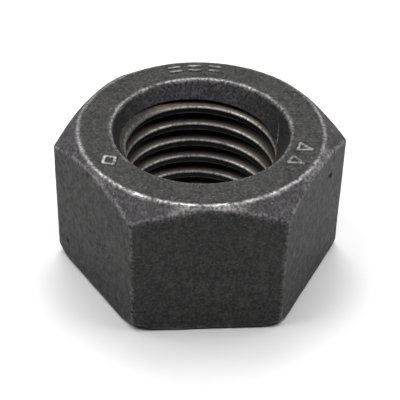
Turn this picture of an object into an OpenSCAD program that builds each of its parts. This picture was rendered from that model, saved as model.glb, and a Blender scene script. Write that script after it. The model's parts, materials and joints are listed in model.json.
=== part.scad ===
// Hex nut, M24 x 3: one solid piece of forged steel with a real right-hand thread.
// Millimetres. The thread's axis is +Z, and z = 0 is the bearing face.
// Two of the six flats face -Y and +Y, and two of the six corners point along -X and +X.

/* [Hexagon] */
// Width across two opposite flats
across_flats = 36; // [34:0.5:38]
// Height from the bearing face to the top face
nut_height = 21.5; // [18:0.5:24]

/* [Chamfers] */
// Diameter of the flat ring on the top face
top_ring_d = 34.6; // [32:0.1:35.6]
// Slope of the top chamfer, down from the top face
top_chamfer_angle = 36; // [20:1:40]
// Diameter beyond which the corners of the bearing face are cut away
bearing_ring_d = 39.6; // [38:0.1:41]
// Slope of the corner cuts, up from the bearing face
bearing_chamfer_angle = 40; // [20:1:45]

/* [Countersinks] */
// Diameter of both countersinks where they meet the end faces
countersink_d = 25.2; // [24.2:0.1:26]
// Included angle of both countersinks
countersink_angle = 60; // [50:5:90]

/* [Thread] */
// Nominal (major) diameter of the thread
thread_d = 24; // [23.5:0.1:24.2]
// Pitch of the thread
thread_pitch = 3; // [2:0.25:3]
// Diameter of the hole inside the thread's crests
minor_d = 21.2; // [20.8:0.05:21.3]
// Height of a groove's middle where it passes the +X side
groove_start = 0.05; // [0:0.05:3]

/* [Surface] */
// Straight pieces in each turn of the thread
pieces_per_turn = 48; // [24:12:60]
// Facets on the cones and the hole
round_facets = 120; // [60:12:180]

/* [Hidden] */

steel = [0.20, 0.20, 0.21];
flank_angle = 30;                              // each flank, from square across the axis
hexagon_r = across_flats / 2 / cos(30);        // from the axis to a sharp corner
past = 1;                                      // how far a cutter runs past the surface it cuts
minor_r = minor_d / 2;
major_r = thread_d / 2;
countersink_r = countersink_d / 2;
countersink_slope = tan(countersink_angle / 2); // radius lost for each millimetre of depth

// The groove cutter runs from inside the hole out to the major diameter.
cutter_inner_r = minor_r - past / 2;
root_half = thread_pitch / 16;
mouth_half = root_half + (major_r - cutter_inner_r) * tan(flank_angle);
first_turn = -2;
turns = ceil(nut_height / thread_pitch) + 3;
step_count = turns * pieces_per_turn;
corner_count = 4;

// The four corners of the groove's cross-section at one step along the helix.
function groove_section(i) =
    let (
        angle = i * 360 / pieces_per_turn,
        height = groove_start + thread_pitch * (first_turn + i / pieces_per_turn),
        corners = [
            [cutter_inner_r, height - mouth_half],
            [major_r, height - root_half],
            [major_r, height + root_half],
            [cutter_inner_r, height + mouth_half]
        ]
    )
    [for (c = corners) [c[0] * cos(angle), c[0] * sin(angle), c[1]]];

// The two triangles that join one side of a section to the same side of the next.
function groove_side(i, k) =
    let (
        here = corner_count * i + k,
        beside = corner_count * i + (k + 1) % corner_count
    )
    [
        [here, beside, beside + corner_count],
        [here, beside + corner_count, here + corner_count]
    ];

// A helical cutter, as long as the nut and more at both ends.
module thread_groove() {
    last = corner_count * step_count;
    points = [for (i = [0 : step_count]) each groove_section(i)];
    sides = [
        for (i = [0 : step_count - 1])
            for (k = [0 : corner_count - 1])
                each groove_side(i, k)
    ];
    ends = [[3, 2, 1, 0], [last, last + 1, last + 2, last + 3]];
    polyhedron(points, concat(sides, ends), convexity = 10);
}

// The hexagon, with its corners cut by a cone above and a cone below.
module chamfered_hexagon() {
    middle = nut_height / 2;
    top_r = top_ring_d / 2;
    bearing_r = bearing_ring_d / 2;
    intersection() {
        cylinder(r = hexagon_r, h = nut_height, $fn = 6);
        union() {
            translate([0, 0, middle])
                cylinder(r1 = top_r + middle / tan(top_chamfer_angle), r2 = top_r,
                    h = middle, $fn = round_facets);
            cylinder(r1 = bearing_r, r2 = bearing_r + middle / tan(bearing_chamfer_angle),
                h = middle, $fn = round_facets);
        }
    }
}

// The cone that opens one end of the hole, with its wide end at z = 0.
module countersink_cutter() {
    wide_r = countersink_r + past * countersink_slope;
    narrow_r = minor_r - past * countersink_slope;
    depth = (wide_r - narrow_r) / countersink_slope;
    translate([0, 0, -past])
        cylinder(r1 = wide_r, r2 = narrow_r, h = depth, $fn = round_facets);
}

module nut_body() {
    color(steel)
        difference() {
            chamfered_hexagon();
            translate([0, 0, -past])
                cylinder(r = minor_r, h = nut_height + 2 * past, $fn = round_facets);
            countersink_cutter();
            translate([0, 0, nut_height])
                mirror([0, 0, 1])
                    countersink_cutter();
            thread_groove();
        }
}

nut_body();
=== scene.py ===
import json
import math

import bmesh
import bpy
import numpy as np
from mathutils import Matrix, Vector, noise


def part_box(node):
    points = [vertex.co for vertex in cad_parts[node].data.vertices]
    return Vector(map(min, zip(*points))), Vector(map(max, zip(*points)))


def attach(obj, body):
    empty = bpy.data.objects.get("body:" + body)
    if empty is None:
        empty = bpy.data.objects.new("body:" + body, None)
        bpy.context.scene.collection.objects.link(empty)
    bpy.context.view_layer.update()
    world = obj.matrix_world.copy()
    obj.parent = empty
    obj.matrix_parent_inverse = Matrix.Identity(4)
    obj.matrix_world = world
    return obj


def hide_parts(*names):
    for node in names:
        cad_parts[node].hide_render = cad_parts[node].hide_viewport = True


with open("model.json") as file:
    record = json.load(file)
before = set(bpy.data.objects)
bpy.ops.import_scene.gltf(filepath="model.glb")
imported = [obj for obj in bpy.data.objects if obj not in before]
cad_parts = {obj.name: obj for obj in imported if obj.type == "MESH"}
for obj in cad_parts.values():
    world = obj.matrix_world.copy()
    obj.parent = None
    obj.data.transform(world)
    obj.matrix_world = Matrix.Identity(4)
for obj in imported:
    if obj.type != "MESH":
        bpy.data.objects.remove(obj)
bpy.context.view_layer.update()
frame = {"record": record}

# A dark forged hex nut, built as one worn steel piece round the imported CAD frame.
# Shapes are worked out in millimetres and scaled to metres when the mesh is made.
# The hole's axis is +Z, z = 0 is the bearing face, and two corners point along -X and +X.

MM = 0.001
TURN = 2 * math.pi

# ---------------------------------------------------------------- sizes, in millimetres

low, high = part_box("nut_body")
HEIGHT = (high.z - low.z) / MM
ACROSS_FLATS = (high.y - low.y) / MM
FLAT_R = ACROSS_FLATS / 2
thread_mount = next(m for m in frame["record"]["mounts"] if m["name"] == "thread")
CREST_R = thread_mount["dims"]["r_mm"]

ROOT_R = 12.0
PITCH = 3.0
GROOVE_START = 0.05       # height of a groove's middle where it passes the +X side
FLANK_SLOPE = 1 / math.tan(math.radians(30))
ROOT_HALF = PITCH / 16    # half the width of a groove at its root, and at its lips
LIP_HALF = ROOT_HALF + (ROOT_R - CREST_R) / FLANK_SLOPE

RING_R = 17.3             # outer edge of the flat ring on the top face
TOP_SLOPE = math.tan(math.radians(36))
BEARING_R = 19.8          # corners of the bearing face are cut beyond this radius
BEARING_SLOPE = math.tan(math.radians(40))
COUNTERSINK_R = 12.6
COUNTERSINK_SLOPE = math.tan(math.radians(30))

BEARING_OFF_CENTRE = 0.6  # how far that cut's centre lies from the axis, towards BEARING_LEAN
BEARING_LEAN = math.radians(60)
CORNER_ROUND = 0.55       # radius on the six upright corners
LEAST_BREAK = 0.25        # smallest chamfer left round the bearing face
CONE_DEPTH = 0.95         # part of each countersink that lies above the thread's run-out
CONE_R = COUNTERSINK_R - CONE_DEPTH * COUNTERSINK_SLOPE


# ---------------------------------------------------------------- small maths helpers

def smooth_max(a, b, width):
    """The larger of a and b, rounded over where they are within width of each other."""
    near = np.maximum(width - np.abs(a - b), 0) / width
    return np.maximum(a, b) + near * near * width / 4


def smooth_min(a, b, width):
    return -smooth_max(-a, -b, width)


def bell(distance, width):
    """1 at distance 0, falling smoothly to nothing beyond about twice the width."""
    return np.exp(-((distance / width) ** 2))


def smooth_step(low_edge, high_edge, value):
    t = np.clip((value - low_edge) / (high_edge - low_edge), 0, 1)
    return t * t * (3 - 2 * t)


def wobble(points, grain, seed):
    """Smooth noise from -1 to 1 at each point, with lumps about grain millimetres apart."""
    away = Vector((seed * 17.3, seed * 5.1, seed * 9.7))
    return np.array([noise.noise(Vector(p) / grain + away) for p in points])


def turned_from(angles, degrees):
    """Signed angle round the axis from a direction given in degrees."""
    return (angles - np.radians(degrees) + math.pi) % TURN - math.pi


def polar(points):
    """Angle round the axis, distance from the axis, and height of each point."""
    angles = np.arctan2(points[:, 1], points[:, 0]) % TURN
    return angles, np.hypot(points[:, 0], points[:, 1]), points[:, 2]


def favour(angles, degrees, swing):
    """1 on the side that faces the given direction, falling to 1 - 2 * swing on the far side."""
    return 1 - swing + swing * np.cos(angles - math.radians(degrees))


def round_wobble(angles, lumps, seed):
    """Noise that depends on the angle round the nut and joins up after a full turn."""
    circle = np.column_stack([np.cos(angles), np.sin(angles), np.zeros_like(angles)])
    return wobble(circle * lumps / TURN, 1.0, seed)


# ---------------------------------------------------------------- the outside, as rows of points

HALF_SECTOR_COLUMNS = 22
CORNER_CLUSTER = 1.6      # above 1, columns crowd towards the corners
CORNER_COUNT = 6
SECTOR = TURN / CORNER_COUNT
HALF_SECTOR = SECTOR / 2


def column_angles():
    """Angles of the mesh's columns, from 0 to a full turn, crowded at the six corners."""
    step = (np.arange(HALF_SECTOR_COLUMNS) + 0.5) / HALF_SECTOR_COLUMNS
    half = HALF_SECTOR * step ** CORNER_CLUSTER
    sector = np.concatenate([half, SECTOR - half[::-1]])
    return np.concatenate([sector + k * TURN / CORNER_COUNT for k in range(CORNER_COUNT)])


def angle_from_corner(angles):
    return (angles + HALF_SECTOR) % SECTOR - HALF_SECTOR


def hexagon_radius(angles):
    """Distance from the axis to the hexagon with rounded corners."""
    off = np.abs(angle_from_corner(angles))
    flat = FLAT_R / np.cos(HALF_SECTOR - off)
    centre = (FLAT_R - CORNER_ROUND) / math.cos(HALF_SECTOR)
    reach = np.maximum(CORNER_ROUND ** 2 - (centre * np.sin(off)) ** 2, 0)
    rounded = centre * np.cos(off) + np.sqrt(reach)
    tangent = math.atan2(CORNER_ROUND * math.sin(HALF_SECTOR),
                         centre + CORNER_ROUND * math.cos(HALF_SECTOR))
    return np.where(off < tangent, rounded, flat)


def ring_radius(angles):
    """Outer edge of the top face's flat ring, a little uneven."""
    return RING_R + 0.10 * round_wobble(angles, 14, 1) + 0.03 * round_wobble(angles, 70, 2)


def rim_radius(angles):
    """Edge of both countersinks, a little uneven."""
    return COUNTERSINK_R + 0.05 * round_wobble(angles, 30, 3)


def shoulder_height(side_r, ring_r):
    """Height where the top chamfer meets the sides."""
    return HEIGHT - (side_r - ring_r) * TOP_SLOPE


def outer_corners(angles):
    """Corners of the nut's section at each angle, from the top countersink to the bottom one."""
    side_r = hexagon_radius(angles)
    ring_r = ring_radius(angles)
    rim_r = rim_radius(angles)
    bearing_r = BEARING_R + BEARING_OFF_CENTRE * np.cos(angles - BEARING_LEAN)
    heel = smooth_max(LEAST_BREAK, (side_r - bearing_r) * BEARING_SLOPE, 0.3)
    whole = np.ones_like(angles)
    corners = [
        (CONE_R * whole, (HEIGHT - CONE_DEPTH) * whole),
        (rim_r, HEIGHT * whole),
        (ring_r, HEIGHT * whole),
        (side_r, shoulder_height(side_r, ring_r)),
        (side_r, heel),
        (side_r - heel / BEARING_SLOPE, 0 * whole),
        (rim_r, 0 * whole),
        (CONE_R * whole, CONE_DEPTH * whole),
    ]
    return np.array([np.column_stack(c) for c in corners])


# One entry for each corner that is rounded: how far back the rounding starts, and its rows.
ROUNDINGS = [(0.20, 4), (0.20, 5), (0.28, 5), (0.60, 5), (0.45, 5), (0.16, 3)]
# Rows on each straight stretch between them.
STRAIGHT_ROWS = [3, 17, 8, 22, 4, 12, 3]
LONGEST_ROUNDING = 0.45   # of the shorter stretch beside the corner


def outer_rows(angles):
    """Rows of (radius, height) round the outside, with every corner of the section rounded."""
    corners = outer_corners(angles)
    rows = []
    start = corners[0]
    for k, (back, count) in enumerate(ROUNDINGS, start=1):
        before = corners[k - 1] - corners[k]
        after = corners[k + 1] - corners[k]
        length_before = np.linalg.norm(before, axis=1)
        length_after = np.linalg.norm(after, axis=1)
        reach = np.minimum(back, LONGEST_ROUNDING * np.minimum(length_before, length_after))
        first = corners[k] + before * (reach / length_before)[:, None]
        last = corners[k] + after * (reach / length_after)[:, None]
        for t in np.arange(STRAIGHT_ROWS[k - 1]) / STRAIGHT_ROWS[k - 1]:
            rows.append(start * (1 - t) + first * t)
        for t in np.arange(count) / count:
            rows.append(first * (1 - t) ** 2 + corners[k] * 2 * t * (1 - t) + last * t * t)
        start = last
    for t in np.arange(STRAIGHT_ROWS[-1] + 1) / STRAIGHT_ROWS[-1]:
        rows.append(start * (1 - t) + corners[-1] * t)
    return rows


# ---------------------------------------------------------------- the threaded hole

CREST_WEAR = 0.42         # how widely the crests' edges and the roots are rounded
ROOT_WEAR = 0.25
WORN_ROOT_R = ROOT_R + 0.04  # deepest part of a worn root
# Depths of the groove's middle below the top face, where a burr starts to close its upper side
# and where it has closed it.
OPEN_DEPTH = 4.4
CLOSED_DEPTH = 3.4
BURR_WIDTH = 0.4          # how far the burr moves that side's foot towards the groove's middle
BURR_STEEPNESS = 5        # how many times steeper it makes that side
# Depths below either end face, where the whole groove starts to fade and where it has gone.
FADING_DEPTH = 2.65
GONE_DEPTH = 2.2


def groove_offset(angles, heights):
    """Signed height of a point from the middle of the nearest groove."""
    phase = (heights - GROOVE_START) / PITCH - angles / TURN
    return (phase - np.round(phase)) * PITCH


def cone_radius(heights):
    """Radius of the hole before threading: the crests' radius, opened by both countersinks."""
    depth = np.minimum(heights, HEIGHT - heights)
    return smooth_max(COUNTERSINK_R - depth * COUNTERSINK_SLOPE, CREST_R, 0.2)


def groove_radius(angles, heights):
    """Radius of the groove's surface. Near the top, a burr closes the groove's upper side."""
    offset = groove_offset(angles, heights)
    middle_depth = HEIGHT - (heights - offset)
    closing = (1 - smooth_step(CLOSED_DEPTH, OPEN_DEPTH, middle_depth)) * (offset > 0)
    root_half = ROOT_HALF - BURR_WIDTH * closing
    steeper = 1 + (BURR_STEEPNESS - 1) * closing
    flank = ROOT_R - (np.abs(offset) - root_half) * FLANK_SLOPE * steeper
    return smooth_min(flank, WORN_ROOT_R, ROOT_WEAR)


def groove_left(angles, heights):
    """1 along the full thread, falling to 0 where the groove has run out on a countersink."""
    middle = heights - groove_offset(angles, heights)
    return smooth_step(GONE_DEPTH, FADING_DEPTH, np.minimum(middle, HEIGHT - middle))


def wall_radius(angles, heights):
    cone = cone_radius(heights)
    cut = smooth_max(cone, groove_radius(angles, heights), CREST_WEAR)
    return cone + (cut - cone) * groove_left(angles, heights)


def thread_row_heights():
    """Heights of the thread's rows on the +X side, crowded where a crest turns into a flank."""
    lip_start = LIP_HALF - 0.16
    lip_end = LIP_HALF + 0.20
    half = np.concatenate([
        np.linspace(0, ROOT_HALF, 2, endpoint=False),
        np.linspace(ROOT_HALF, lip_start, 4, endpoint=False),
        np.linspace(lip_start, lip_end, 6, endpoint=False),
        np.linspace(lip_end, PITCH / 2, 2, endpoint=False),
    ])
    one_turn = np.concatenate([half, PITCH - half[:0:-1], [PITCH / 2]])
    one_turn.sort()
    turns = np.arange(-2, math.ceil(HEIGHT / PITCH) + 1)
    return (GROOVE_START + turns[:, None] * PITCH + one_turn).ravel(), len(one_turn)


# ---------------------------------------------------------------- one closed mesh

def outer_mesh(angles):
    """Points and faces of the outside, from the top countersink round to the bottom one."""
    columns = len(angles)
    points = []
    for row in outer_rows(angles):
        points += zip(row[:, 0] * np.cos(angles), row[:, 0] * np.sin(angles), row[:, 1])
    faces = []
    for r in range(len(points) // columns - 1):
        upper = r * columns
        lower = upper + columns
        for i in range(columns):
            j = (i + 1) % columns
            faces.append((upper + i, upper + j, lower + j, lower + i))
    return points, faces


def add_thread(points, faces, angles):
    """Adds the hole's wall, in rows that climb with the helix, between the two outer end rows."""
    columns = len(angles)
    bottom_row = len(points) - columns
    starts, rows_per_turn = thread_row_heights()
    gap = 0.05  # keeps the thread's rows clear of the outer mesh's two end rows
    column_rows = []  # for each column, the index of its point on each row of the helix
    for angle in angles:
        heights = starts + PITCH * angle / TURN
        inside = (heights > CONE_DEPTH + gap) & (heights < HEIGHT - CONE_DEPTH - gap)
        inside = np.nonzero(inside)[0]
        radii = wall_radius(np.full(len(inside), angle), heights[inside])
        first = len(points)
        points += zip(radii * math.cos(angle), radii * math.sin(angle), heights[inside])
        column_rows.append({int(row): first + n for n, row in enumerate(inside)})

    for i in range(columns):
        j = (i + 1) % columns
        here = column_rows[i]
        there = column_rows[j]
        if j == 0:  # a full turn climbs one pitch, so the rows' numbers move by one turn's rows
            there = {row - rows_per_turn: index for row, index in there.items()}
        shared = sorted(set(here) & set(there))
        for row in shared[:-1]:
            faces.append((here[row], there[row], there[row + 1], here[row + 1]))
        below = [here[row] for row in sorted(here) if row <= shared[0]]
        below_next = [there[row] for row in sorted(there) if row <= shared[0]]
        faces.append((bottom_row + i, bottom_row + j, *below_next, *below[::-1]))
        above = [here[row] for row in sorted(here) if row >= shared[-1]]
        above_next = [there[row] for row in sorted(there) if row >= shared[-1]]
        faces.append((*above, i, j, *above_next[::-1]))


# ---------------------------------------------------------------- raised marks on the top face

def mark_strokes(angle, radius, strokes):
    """Ends of a mark's strokes on the top face, turned so that the mark faces outwards."""
    turn = math.radians(angle)
    out = np.array([math.cos(turn), math.sin(turn)])
    along = np.array([-math.sin(turn), math.cos(turn)])
    return [tuple(radius * out + a * along + r * out for a, r in stroke) for stroke in strokes]


def loop_strokes(corners):
    return [(corners[k], corners[(k + 1) % len(corners)]) for k in range(len(corners))]


TWO_DASHES = [((-0.75, 0.55), (0.75, 0.55)), ((-0.75, -0.55), (0.75, -0.55))]
DIAMOND = loop_strokes([(-1.15, 0), (0, 1.0), (1.15, 0), (0, -1.0)])
TRIANGLE = loop_strokes([(-0.85, -0.95), (0.85, -0.95), (0, 0.95)])
MARKS = (
    mark_strokes(101, 15.4, TWO_DASHES)
    + mark_strokes(90, 15.4, TWO_DASHES)
    + mark_strokes(79, 15.4, TWO_DASHES)
    + mark_strokes(209, 14.8, DIAMOND)
    + mark_strokes(339, 15.0, TRIANGLE)
    + mark_strokes(326, 15.0, TRIANGLE)
)
MARK_HALF_WIDTH = 0.2
MARK_SLOPE = 0.18
MARK_FOOT = MARK_HALF_WIDTH + MARK_SLOPE
MARK_RISE = 0.2


def on_top_face(points):
    return points[:, 2] > HEIGHT - 0.01


def distance_to_strokes(points):
    """Distance in plan from each point to the nearest stroke of a mark."""
    plan = points[:, :2]
    nearest = np.full(len(points), np.inf)
    for a, b in MARKS:
        line = b - a
        t = np.clip((plan - a) @ line / (line @ line), 0, 1)
        nearest = np.minimum(nearest, np.linalg.norm(plan - a - t[:, None] * line, axis=1))
    return nearest


# ---------------------------------------------------------------- pits and forging unevenness

# Pits and nicks: place, radius and depth.
PITS = [
    (np.array([17.75, -5.4, 16.65]), 0.50, 0.35),
    (np.array([18.1, -4.8, 16.3]), 0.60, 0.40),
    (np.array([-19.3, -2.6, 3.8]), 0.60, 0.22),
    (np.array([-15.8, -8.6, 20.3]), 0.50, 0.18),
    (np.array([5.4, -18.0, 3.6]), 0.30, 0.12),
    (np.array([-10.4, 18.0, 12.5]), 0.50, 0.22),
    (np.array([9.0, 18.0, 6.2]), 0.35, 0.18),
    (np.array([17.3, 6.0, 9.0]), 0.40, 0.20),
    (np.array([-15.2, 9.3, 6.5]), 0.40, 0.20),
    (np.array([-4.0, -15.6, 21.5]), 0.30, 0.10),
    (np.array([13.5, -7.6, 0.0]), 0.50, 0.18),
]
DARK_PIT_DEPTH = 1 / 3    # pits this deep are painted quite black, as painted shade in the hollow
# Height, grain and seed of each size of unevenness in the forging.
FORGING_WAVES = [(0.035, 5.0, 4), (0.018, 1.1, 5)]


def distance_to(place, points):
    return np.linalg.norm(points - place, axis=1)


def surface_relief(points):
    """How far each point moves out along its normal: forging unevenness, marks and pits."""
    _, radius, _ = polar(points)
    outside = smooth_step(CREST_R + 1.0, COUNTERSINK_R, radius)
    waves = sum(height * wobble(points, grain, seed) for height, grain, seed in FORGING_WAVES)
    relief = outside * waves
    stroke = 1 - smooth_step(MARK_HALF_WIDTH, MARK_FOOT, distance_to_strokes(points))
    relief += np.where(on_top_face(points), MARK_RISE * stroke, 0)
    for place, size, depth in PITS:
        relief -= depth * bell(distance_to(place, points), 0.5 * size)
    return relief


# ---------------------------------------------------------------- finer mesh where it is needed

SHORT_EDGE = 0.25         # edges shorter than this are never split


def refine(bm, wanted, cuts):
    """Splits the longer edges for which wanted(middle point) is true."""
    edges = [e for e in bm.edges if e.calc_length() > SHORT_EDGE]
    middles = np.array([(e.verts[0].co + e.verts[1].co) / 2 for e in edges])
    chosen = [e for e, yes in zip(edges, wanted(middles)) if yes]
    bmesh.ops.subdivide_edges(bm, edges=chosen, cuts=cuts, use_grid_fill=True)


def near_mark(middles):
    return on_top_face(middles) & (distance_to_strokes(middles) < MARK_FOOT + 0.25)


def near_pit(middles):
    chosen = np.zeros(len(middles), bool)
    for place, size, _ in PITS:
        chosen |= distance_to(place, middles) < 1.6 * size
    return chosen


# ---------------------------------------------------------------- maps that the material reads

# Strength and width of the line of bare metal along each edge.
RING_WEAR = (0.78, 0.27)
RIM_WEAR = (0.55, 0.36)
SHOULDER_WEAR = (0.40, 0.28)
UPRIGHT_WEAR = (0.15, 0.42)
FOOT_WEAR = (0.30, 0.35)
LIP_WEAR = (1.00, 0.12)
CREST_POLISH = (0.50, 0.32)
RUN_OUT_HIGHLIGHT_LINE = (0.50, 0.20)
MARK_STRENGTH = 0.42
CHAMFER_STRENGTH = 0.50
# The wear on the edges comes and goes in patches: its level, its swing, and the patches' grain.
PATCH_LEVEL = 0.70
PATCH_SWING = 0.55
PATCH_GRAIN = 2.2
# The side where each is painted brightest, in degrees round the axis, and half of what the far side
# loses. This is painted light: the ring, rim, chamfer and lip lines of bare metal get a painted
# highlight on that side, and the thread's flanks get the least painted shade there.
RING_HIGHLIGHT_SIDE = (255, 0.36)
RIM_HIGHLIGHT_SIDE = (90, 0.38)
CHAMFER_HIGHLIGHT_SIDE = (290, 0.90)
LIP_HIGHLIGHT_SIDE = (105, 0.275)
FLANK_LIT_SIDE = (105, 0.5)
# The polished part of the thread's first crest: its middle's direction and height.
POLISHED_SIDE = 168
POLISHED_HEIGHT = 18.4
# The painted highlight on the top countersink, a bright line where an edge of the thread's run-out
# catches the light: heights of its ends, its first direction, and its turn.
RUN_OUT_HIGHLIGHT_LOW = 17.5
RUN_OUT_HIGHLIGHT_HIGH = 20.0
RUN_OUT_HIGHLIGHT_START = -7.0
RUN_OUT_HIGHLIGHT_TURN = 23.0
LIP_MIDDLE = 0.07         # how deep in the groove the brightest part of its lip lies


def bright_line(distance, wear):
    strength, width = wear
    return strength * bell(distance, width)


def edge_wear_and_highlight(points, side_r, ring_r, shoulder, chamfer):
    """Bare metal on the nut's edges, on the marks, and where the chamfer is narrow. The ring, rim and
    narrow chamfer lines also carry a painted highlight, stronger on the side where light catches them.
    """
    angles, radius, z = polar(points)
    ring_edge = bright_line(np.hypot(radius - ring_r, z - HEIGHT), RING_WEAR)
    # Painted highlight: the ring's line is made brightest towards the front left.
    ring_edge *= favour(angles, *RING_HIGHLIGHT_SIDE)
    rim_edge = bright_line(np.hypot(radius - rim_radius(angles), z - HEIGHT), RIM_WEAR)
    # Painted highlight: the rim's line is made brightest towards the back.
    rim_edge *= favour(angles, *RIM_HIGHLIGHT_SIDE)
    shoulder_edge = bright_line(np.hypot(radius - side_r, z - shoulder), SHOULDER_WEAR)
    upright = bright_line(radius * angle_from_corner(angles), UPRIGHT_WEAR)
    upright *= (radius > FLAT_R) * (1 - smooth_step(-0.6, 0.0, z - shoulder))
    foot_edge = bright_line(np.hypot(radius - side_r, z - 0.1), FOOT_WEAR)
    mark = 1 - smooth_step(0.1, 0.32, distance_to_strokes(points))
    mark *= MARK_STRENGTH * on_top_face(points)
    narrow_chamfer = CHAMFER_STRENGTH * chamfer * (1 - smooth_step(0.6, 1.8, side_r - ring_r))
    # Painted highlight: the narrow chamfer's line is made brightest towards the front and fades out
    # towards the back.
    narrow_chamfer *= favour(angles, *CHAMFER_HIGHLIGHT_SIDE)
    edges = [ring_edge, rim_edge, shoulder_edge, upright, foot_edge, mark, narrow_chamfer]
    patchy = PATCH_LEVEL + PATCH_SWING * wobble(points, PATCH_GRAIN, 6)
    return np.maximum.reduce(edges) * patchy


def first_crest_wear_and_highlight(points):
    """The polished part of the first crest, and a painted highlight on the countersink above it, where
    an edge of the thread's run-out catches the light.
    """
    angles, radius, z = polar(points)
    polished = bright_line(z - POLISHED_HEIGHT, CREST_POLISH)
    polished *= bell(turned_from(angles, POLISHED_SIDE), math.radians(28))
    climb = (z - RUN_OUT_HIGHLIGHT_LOW) / (RUN_OUT_HIGHLIGHT_HIGH - RUN_OUT_HIGHLIGHT_LOW)
    off_run_out_highlight = radius * turned_from(angles, RUN_OUT_HIGHLIGHT_START + RUN_OUT_HIGHLIGHT_TURN * climb)
    # Painted highlight along the run-out's edge, brighter at its low end.
    run_out_highlight = bright_line(off_run_out_highlight, RUN_OUT_HIGHLIGHT_LINE)
    run_out_highlight *= (climb > 0) * (climb < 1) * (1.1 - 0.7 * climb)
    return np.maximum(polished, run_out_highlight)


def wear_maps(points):
    """Each map's value at each point, under the name of the attribute that holds it."""
    angles, radius, z = polar(points)
    side_r = hexagon_radius(angles)
    ring_r = ring_radius(angles)
    shoulder = shoulder_height(side_r, ring_r)
    chamfer = (z < HEIGHT - 0.02) & (z > shoulder + 0.02) & (radius > ring_r)

    # The thread: 1 on its crests and grooves, and how deep in a groove each point lies. The flanks are
    # painted darker with this depth, as painted shade towards the root; it is made smaller where the
    # groove runs out, so the first turn is painted lighter, and larger away from the lit side of the
    # hole, so the flanks there get more painted shade.
    in_hole = radius < CONE_R + 0.4
    cone = cone_radius(z)
    land = in_hole & (cone - CREST_R < 0.05)
    groove = groove_radius(angles, z) - cone
    thread = np.maximum(smooth_step(-0.10, 0.05, groove) * in_hole, land)
    offset = groove_offset(angles, z)
    across = np.clip(1 - np.abs(offset) / LIP_HALF, 0, 1)
    depth = across * thread * (0.12 + 0.88 * groove_left(angles, z))
    # Painted shade: flanks away from the lit side of the hole are darker.
    depth *= 2 - favour(angles, *FLANK_LIT_SIDE)

    # Bare metal: the edges, the grooves' lips, which are brighter below, and the first crest, with
    # painted light mixed in. Dimming the lips on each groove's upper side is painted shade, as no
    # light comes from below there, and making the lips brightest towards the back of the hole is a
    # painted highlight, as is the bright line on the top countersink where the thread runs out.
    edges = edge_wear_and_highlight(points, side_r, ring_r, shoulder, chamfer)
    cut_depth = wall_radius(angles, z) - CREST_R
    lip_wear_and_highlight = bright_line(cut_depth - LIP_MIDDLE, LIP_WEAR) * smooth_step(0.005, 0.05, cut_depth)
    # Painted shade on the upper lips, and a painted highlight towards the back of the hole.
    lip_wear_and_highlight *= np.where(offset > 0, 0.3, 1.0) * favour(angles, *LIP_HIGHLIGHT_SIDE) * in_hole
    first_crest = first_crest_wear_and_highlight(points) * in_hole
    wear_and_highlight = np.clip(np.maximum.reduce([edges, lip_wear_and_highlight, first_crest]), 0, 1)

    # Surfaces that a tool cut, painted shade on the countersinks' left and right sides, and painted
    # shade in the pits.
    countersink = (radius < COUNTERSINK_R + 0.02) & (thread < 0.5)
    corner_cut = (z < 3.0) & (radius > BEARING_R) & (radius < side_r - 0.03)
    cut = (chamfer | countersink | corner_cut).astype(float)
    # Painted shade: the countersinks are darkened towards their left and right sides.
    countersink_side_shade = countersink * np.cos(angles) ** 2
    # Painted shade: each pit is darkened towards black, the more the deeper it is.
    pit_shade = np.zeros(len(points))
    for place, size, sunk in PITS:
        hollow = 1 - smooth_step(0.5 * size, size, distance_to(place, points))
        pit_shade = np.maximum(pit_shade, min(1, sunk / DARK_PIT_DEPTH) * hollow)
    return {"wear_and_highlight": wear_and_highlight, "cut": cut, "thread": thread, "depth": depth, "pit_shade": pit_shade, "countersink_side_shade": countersink_side_shade}


# ---------------------------------------------------------------- the finished mesh

def build_nut():
    angles = column_angles()
    points, faces = outer_mesh(angles)
    add_thread(points, faces, angles)
    mesh = bpy.data.meshes.new("nut_body_steel")
    mesh.from_pydata([tuple(map(float, p)) for p in points], [], faces)
    bm = bmesh.new()
    bm.from_mesh(mesh)
    refine(bm, near_mark, 3)
    refine(bm, near_pit, 4)
    bmesh.ops.recalc_face_normals(bm, faces=bm.faces)
    bm.to_mesh(mesh)
    bm.free()

    count = len(mesh.vertices)
    flat = np.empty(count * 3)
    mesh.vertices.foreach_get("co", flat)
    points = flat.reshape(-1, 3)
    normals = np.empty(count * 3, np.float32)
    mesh.vertex_normals.foreach_get("vector", normals)
    for name, values in wear_maps(points).items():
        layer = mesh.attributes.new(name, "FLOAT", "POINT")
        layer.data.foreach_set("value", values.astype(np.float32))
    moved = (points + normals.reshape(-1, 3) * surface_relief(points)[:, None]) * MM
    mesh.vertices.foreach_set("co", moved.ravel())
    mesh.shade_smooth()
    mesh.update()
    nut = bpy.data.objects.new("nut_body_steel", mesh)
    bpy.context.collection.objects.link(nut)
    return nut


# ---------------------------------------------------------------- materials

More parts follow.
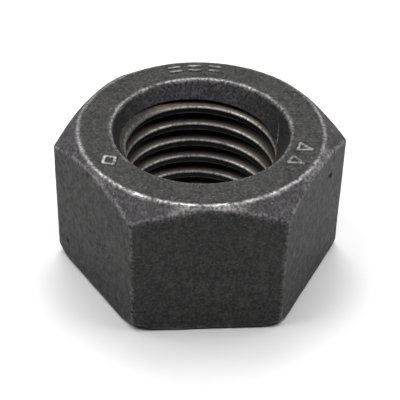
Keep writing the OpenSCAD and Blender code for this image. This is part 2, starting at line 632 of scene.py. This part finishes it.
class Nodes:
    """A short way to write a material's nodes."""

    def __init__(self, name):
        self.material = bpy.data.materials.new(name)
        self.material.use_nodes = True
        self.tree = self.material.node_tree
        self.shader = self.tree.nodes["Principled BSDF"]

    def add(self, kind, output, values=None, **settings):
        node = self.tree.nodes.new(kind)
        for key, value in settings.items():
            setattr(node, key, value)
        for key, value in (values or {}).items():
            self.feed(node.inputs[key], value)
        return node.outputs[output]

    def feed(self, socket, value):
        if isinstance(value, bpy.types.NodeSocket):
            self.tree.links.new(value, socket)
        else:
            socket.default_value = value

    def attribute(self, name):
        return self.add("ShaderNodeAttribute", "Fac", attribute_name=name)

    def times(self, a, b):
        return self.add("ShaderNodeMath", 0, {0: a, 1: b}, operation="MULTIPLY")

    def noise(self, place, grain, detail=3.0, roughness=0.55):
        """Noise with lumps about grain millimetres across."""
        values = {"Vector": place, "Scale": 1 / (grain * MM), "Detail": detail, "Roughness": roughness}
        return self.add("ShaderNodeTexNoise", "Fac", values)

    def range(self, value, low_in, high_in, low_out=0.0, high_out=1.0):
        values = {"Value": value, 1: low_in, 2: high_in, 3: low_out, 4: high_out}
        return self.add("ShaderNodeMapRange", 0, values)

    def mix(self, factor, a, b):
        """A colour between a and b."""
        values = {0: factor, 6: a, 7: b}
        return self.add("ShaderNodeMix", 2, values, data_type="RGBA")

    def blend(self, factor, a, b):
        """A number between a and b."""
        values = {0: factor, 2: a, 3: b}
        return self.add("ShaderNodeMix", 0, values)


def grey(value, warm=0.0):
    return (value * (1 + warm), value, value * (1 - warm), 1)


class SteelNoise:
    """The noises that the parts of the steel share."""

    def __init__(self, n):
        self.place = n.add("ShaderNodeTexCoord", "Object")
        self.broad = n.noise(self.place, 4.0)
        self.tint = n.noise(self.place, 1.6, 2.0)
        self.medium = n.noise(self.place, 1.0)
        self.fine = n.noise(self.place, 0.42, 2.0, 0.6)
        self.specks = n.noise(self.place, 0.30, 1.0)
        upright = n.add("ShaderNodeMapping", "Vector", {"Vector": self.place, "Scale": (1, 1, 0.3)})
        self.streaks = n.noise(upright, 0.8, 2.0)


def skin_colour(n, grain):
    """Forged skin: near black with soft mottling, faint upright streaks and a few light specks."""
    skin = n.mix(n.range(grain.broad, 0.35, 0.65), grey(0.014, 0.01), grey(0.023, 0.02))
    skin = n.mix(n.range(grain.streaks, 0.48, 0.66, 0.0, 0.8), skin, grey(0.042, 0.03))
    skin = n.mix(n.range(grain.tint, 0.50, 0.70, 0.0, 0.5), skin, grey(0.024, 0.10))
    skin = n.mix(n.range(grain.medium, 0.40, 0.62, 0.0, 0.75), skin, grey(0.008))
    skin = n.mix(n.range(grain.fine, 0.42, 0.75, 0.0, 0.66), skin, grey(0.068, 0.02))
    return n.mix(n.range(grain.specks, 0.70, 0.78), skin, grey(0.15, 0.02))


def cone_colour(n, grain):
    """Cut cones: coarser speckle, a faint violet cast, and painted shade on the countersinks' left and
    right sides.
    """
    cone = n.mix(n.range(grain.fine, 0.38, 0.68), grey(0.026), (0.100, 0.093, 0.102, 1))
    cone = n.mix(n.range(grain.tint, 0.46, 0.68, 0.0, 0.6), cone, grey(0.030, 0.06))
    cone = n.mix(n.range(grain.specks, 0.68, 0.78), cone, grey(0.19))
    # Painted shade on the countersinks' sides.
    return n.mix(n.times(n.attribute("countersink_side_shade"), 0.8), cone, grey(0.008))


def thread_colour(n, grain):
    """Black crests with a faint blue tint that is a painted reflection, and flanks that go from light
    brown at the lip to dark at the root, the darkening being painted shade.
    """
    depth = n.attribute("depth")
    flank = n.mix(n.range(grain.medium, 0.35, 0.65), (0.085, 0.074, 0.062, 1), (0.15, 0.134, 0.115, 1))
    # Painted shade: the flank darkens towards the groove's root.
    flank = n.mix(n.range(depth, 0.05, 0.50), flank, (0.045, 0.034, 0.023, 1))
    return n.mix(n.range(depth, 0.02, 0.08), (0.007, 0.009, 0.012, 1), flank)


BUMP_DEPTH = 0.06 * MM


def forged_steel():
    """Black forging scale, rougher where a tool cut the chamfers, and bright where edges rub and where
    highlights are painted on as bare metal.
    """
    n = Nodes("forged_steel")
    grain = SteelNoise(n)
    cut = n.attribute("cut")
    in_thread = n.attribute("thread")
    # Bare metal for rubbed edges and for painted highlights.
    rub_and_highlight = n.times(n.attribute("wear_and_highlight"), n.range(grain.fine, 0.34, 0.62, 0.30, 1.3))
    rub_and_highlight = n.range(rub_and_highlight, 0.03, 0.80)

    colour = n.mix(cut, skin_colour(n, grain), cone_colour(n, grain))
    colour = n.mix(in_thread, colour, thread_colour(n, grain))
    bare = n.mix(in_thread, (0.50, 0.485, 0.49, 1), (0.62, 0.59, 0.55, 1))
    colour = n.mix(rub_and_highlight, colour, bare)
    # Painted shade in the pits.
    colour = n.mix(n.attribute("pit_shade"), colour, grey(0.002))

    skin_roughness = n.range(grain.medium, 0.3, 0.7, 0.50, 0.66)
    cut_roughness = n.range(grain.fine, 0.3, 0.7, 0.52, 0.74)
    roughness = n.blend(cut, skin_roughness, cut_roughness)
    roughness = n.blend(in_thread, roughness, 0.42)
    roughness = n.blend(rub_and_highlight, roughness, 0.38)
    metallic = n.blend(in_thread, 0.0, 0.4)
    metallic = n.blend(rub_and_highlight, metallic, 0.85)

    relief = n.blend(0.35, grain.fine, n.noise(grain.place, 0.12, 2.0, 0.6))
    strength = n.blend(cut, 0.32, 0.70)
    strength = n.blend(in_thread, strength, 0.10)
    values = {"Height": relief, "Strength": strength, "Distance": BUMP_DEPTH}
    bump = n.add("ShaderNodeBump", "Normal", values)

    shader = n.shader.inputs
    n.feed(shader["Base Color"], colour)
    n.feed(shader["Roughness"], roughness)
    n.feed(shader["Metallic"], metallic)
    n.feed(shader["Normal"], bump)
    shader["Specular IOR Level"].default_value = 0.2
    return n.material


def floor_paper():
    n = Nodes("floor_paper")
    place = n.add("ShaderNodeTexCoord", "Object")
    shader = n.shader.inputs
    n.feed(shader["Base Color"], n.mix(n.noise(place, 0.6), grey(0.80), grey(0.82)))
    shader["Roughness"].default_value = 0.9
    shader["Specular IOR Level"].default_value = 0.1
    return n.material


# ---------------------------------------------------------------- the nut

nut = build_nut()
nut.data.materials.append(forged_steel())
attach(nut, "root")
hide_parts("nut_body")


# ---------------------------------------------------------------- floor, light and camera

# Sizes of the floor and the lights are in metres.
FLOOR_HALF_WIDTH = 3.0
FLOOR_GAP = 0.0001        # keeps the floor clear of the bearing face
SOFTBOX_DISTANCE = 0.6
# Name, azimuth, elevation, diameter and power. Azimuth 0 is in front (-Y), and 90 on the right (+X).
SOFTBOXES = [
    ("back_softbox", 180, 60, 0.40, 2.7),
    ("front_softbox", 0, 72, 0.25, 0.6),
    ("left_softbox", -90, 60, 0.40, 2.1),
    ("right_softbox", 90, 60, 0.40, 1.75),
]
SKY_STRENGTH = 0.03

# The camera looks at a point on the axis, moved a little in its own picture plane. Its angles are
# in degrees, and its distances are in widths across the flats.
CAMERA_ELEVATION = 38.4
CAMERA_YAW = -4.65
CAMERA_ROLL = 1.53
CAMERA_DISTANCE = 5.06
AIM_HEIGHT = 0.28
AIM_DOWN = 0.0304
AIM_RIGHT = 0.0012
LENS_MM = 112.7
SENSOR_MM = 36


def direction(azimuth, elevation):
    """Unit vector from the nut, for angles in degrees."""
    a = math.radians(azimuth)
    e = math.radians(elevation)
    return Vector((math.sin(a) * math.cos(e), -math.cos(a) * math.cos(e), math.sin(e)))


def add_floor():
    w = FLOOR_HALF_WIDTH
    mesh = bpy.data.meshes.new("studio_floor")
    mesh.from_pydata([(-w, -w, 0), (w, -w, 0), (w, w, 0), (-w, w, 0)], [], [(0, 1, 2, 3)])
    mesh.materials.append(floor_paper())
    floor = bpy.data.objects.new("studio_floor", mesh)
    floor.location.z = -FLOOR_GAP
    bpy.context.collection.objects.link(floor)


def add_softbox(name, azimuth, elevation, diameter, power):
    """A round area light aimed at the nut."""
    away = direction(azimuth, elevation)
    lamp = bpy.data.lights.new(name, "AREA")
    lamp.shape = "DISK"
    lamp.size = diameter
    lamp.energy = power
    light = bpy.data.objects.new(name, lamp)
    light.location = away * SOFTBOX_DISTANCE
    light.rotation_mode = "QUATERNION"
    light.rotation_quaternion = away.to_track_quat("Z", "Y")
    bpy.context.collection.objects.link(light)


def add_sky():
    world = bpy.data.worlds.new("studio")
    world.use_nodes = True
    background = world.node_tree.nodes["Background"]
    background.inputs["Color"].default_value = (1, 1, 1, 1)
    background.inputs["Strength"].default_value = SKY_STRENGTH
    bpy.context.scene.world = world


def add_camera():
    width = ACROSS_FLATS * MM
    away = direction(CAMERA_YAW, CAMERA_ELEVATION)
    yaw = math.radians(CAMERA_YAW)
    roll = math.radians(CAMERA_ROLL)
    level_right = Vector((math.cos(yaw), math.sin(yaw), 0))
    level_up = away.cross(level_right)
    right = level_right * math.cos(roll) + level_up * math.sin(roll)
    up = level_up * math.cos(roll) - level_right * math.sin(roll)
    aim = Vector((0, 0, AIM_HEIGHT * width)) - up * AIM_DOWN * width + right * AIM_RIGHT * width
    lens = bpy.data.cameras.new("camera")
    lens.sensor_width = SENSOR_MM
    lens.lens = LENS_MM
    lens.clip_start = 0.01
    lens.clip_end = 20
    camera = bpy.data.objects.new("camera", lens)
    axes = Matrix((right, up, away)).transposed()
    camera.matrix_world = Matrix.Translation(aim + away * CAMERA_DISTANCE * width) @ axes.to_4x4()
    bpy.context.collection.objects.link(camera)
    bpy.context.scene.camera = camera


add_floor()
add_sky()
for softbox in SOFTBOXES:
    add_softbox(*softbox)
add_camera()
bpy.context.scene.view_settings.view_transform = "Standard"
